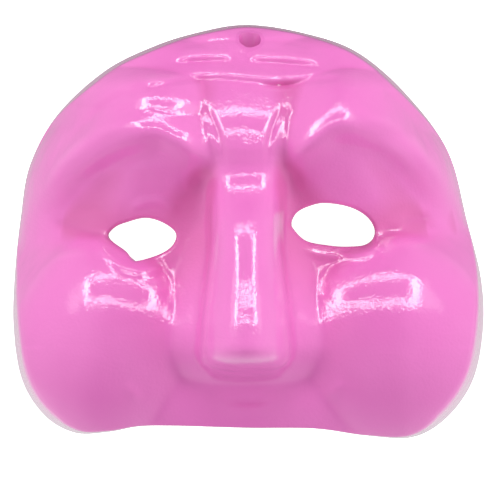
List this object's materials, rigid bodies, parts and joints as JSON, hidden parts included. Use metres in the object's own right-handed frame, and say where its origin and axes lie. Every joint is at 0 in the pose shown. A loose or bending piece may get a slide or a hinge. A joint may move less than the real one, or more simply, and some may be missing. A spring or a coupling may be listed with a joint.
{
  "type": "ceramic half mask",
  "caption": "Pink glazed ceramic half mask with arched brows, long ridged nose, round cheeks, cut eye holes and a hanging hole in the forehead.",
  "frame": {"origin": "middle of the footprint of the back rim, on the surface that the mask lies on", "axes": "+X across the face, towards the right of a viewer who looks at it; +Y from the lip to the forehead; +Z out of the face, along the nose"},
  "size_m": [0.1554, 0.1342, 0.0864],
  "materials": {
    "pink_glaze": "high gloss"
  },
  "bodies": {
    "root": {"mask_shell": "pink_glaze"}
  },
  "joints": []
}
